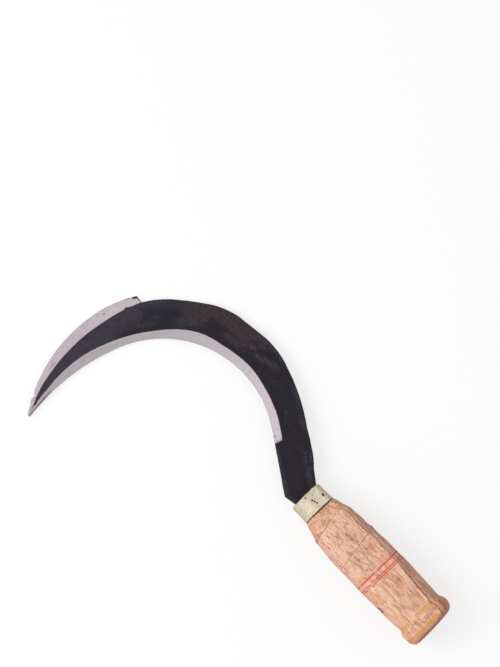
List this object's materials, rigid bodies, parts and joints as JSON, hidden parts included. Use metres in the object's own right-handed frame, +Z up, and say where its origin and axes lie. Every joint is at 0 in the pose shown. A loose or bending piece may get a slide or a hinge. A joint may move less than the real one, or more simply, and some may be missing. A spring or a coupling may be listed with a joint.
{
  "type": "double-edged sickle",
  "caption": "Hand sickle with a forged hooked blade, ground on its inner edge and on the back of its point, in a turned wooden handle with a brass ferrule.",
  "frame": {"origin": "middle of the sickle's box, on the surface it lies on", "axes": "+Y runs along the handle from the butt to the blade, +Z is up from the table to the ground faces, and the hook opens to -X"},
  "size_m": [0.1684, 0.3482, 0.042],
  "materials": {
    "blade_steel": "black forge scale with rust, ground bright along both cutting edges",
    "ferrule_brass": "pale worn brass with dents and pits",
    "brad_iron": "rusty iron",
    "handle_wood": "bare turned wood with worn red and yellow painted lines"
  },
  "bodies": {
    "root": {"blade": "blade_steel", "ferrule": "ferrule_brass", "ferrule_brad": "brad_iron", "handle": "handle_wood"}
  },
  "joints": []
}
